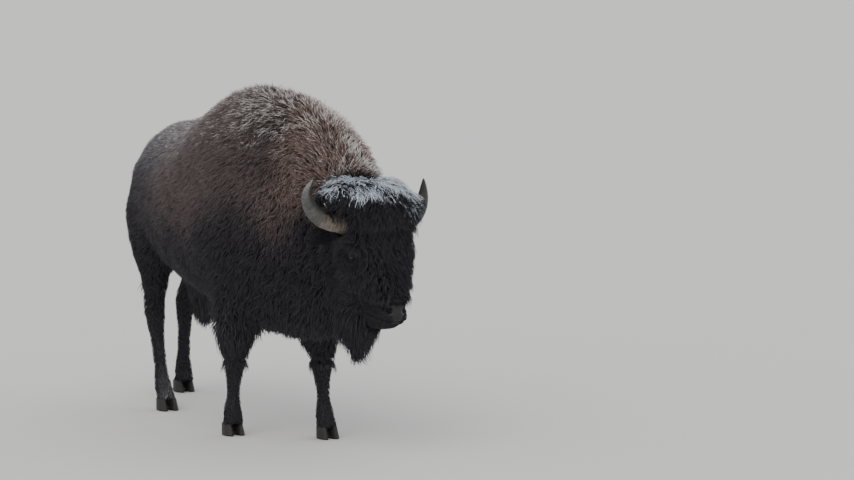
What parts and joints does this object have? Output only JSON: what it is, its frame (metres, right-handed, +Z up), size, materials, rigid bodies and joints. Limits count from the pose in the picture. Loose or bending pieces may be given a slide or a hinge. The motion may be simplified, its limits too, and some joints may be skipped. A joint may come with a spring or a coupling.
{
  "type": "american bison bull",
  "caption": "Still life-size model of a bull bison in winter coat, standing in mid-stride on all four feet with its head carried low.",
  "frame": {"origin": "on the floor, under the middle of the model's box", "axes": "+X towards the head, +Y towards the animal's left, +Z up"},
  "size_m": [2.7286, 0.9838, 1.8368],
  "materials": {
    "coat_brown": "dense winter wool, frosted tips",
    "coat_cape": "curly reddish-brown cape hair, frosted tips",
    "coat_dark": "long near-black hair",
    "muzzle_skin": "dark hide with a wet bare nose pad",
    "horn": "weathered grey horn, rough base, paler tip",
    "hoof": "dull black horn",
    "eye": "dark brown, wet"
  },
  "bodies": {
    "root": {"barrel": "coat_brown", "hindquarters": "coat_brown", "hump": "coat_cape", "shoulders": "coat_cape", "neck": "coat_cape", "head": "coat_dark", "crown_hair": "coat_dark", "beard": "coat_dark", "muzzle": "muzzle_skin", "belly_hair": "coat_dark", "tail": "coat_dark", "tail_tuft": "coat_dark", "left_ear": "coat_dark", "left_eye": "eye", "left_horn": "horn", "left_fore_upper_leg": "coat_dark", "left_fore_lower_leg": "coat_dark", "left_fore_inner_hoof": "hoof", "left_fore_outer_hoof": "hoof", "left_hind_upper_leg": "coat_dark", "left_hind_lower_leg": "coat_dark", "left_hind_inner_hoof": "hoof", "left_hind_outer_hoof": "hoof", "right_ear": "coat_dark", "right_eye": "eye", "right_horn": "horn", "right_fore_upper_leg": "coat_dark", "right_fore_lower_leg": "coat_dark", "right_fore_inner_hoof": "hoof", "right_fore_outer_hoof": "hoof", "right_hind_upper_leg": "coat_dark", "right_hind_lower_leg": "coat_dark", "right_hind_inner_hoof": "hoof", "right_hind_outer_hoof": "hoof"}
  },
  "joints": []
}
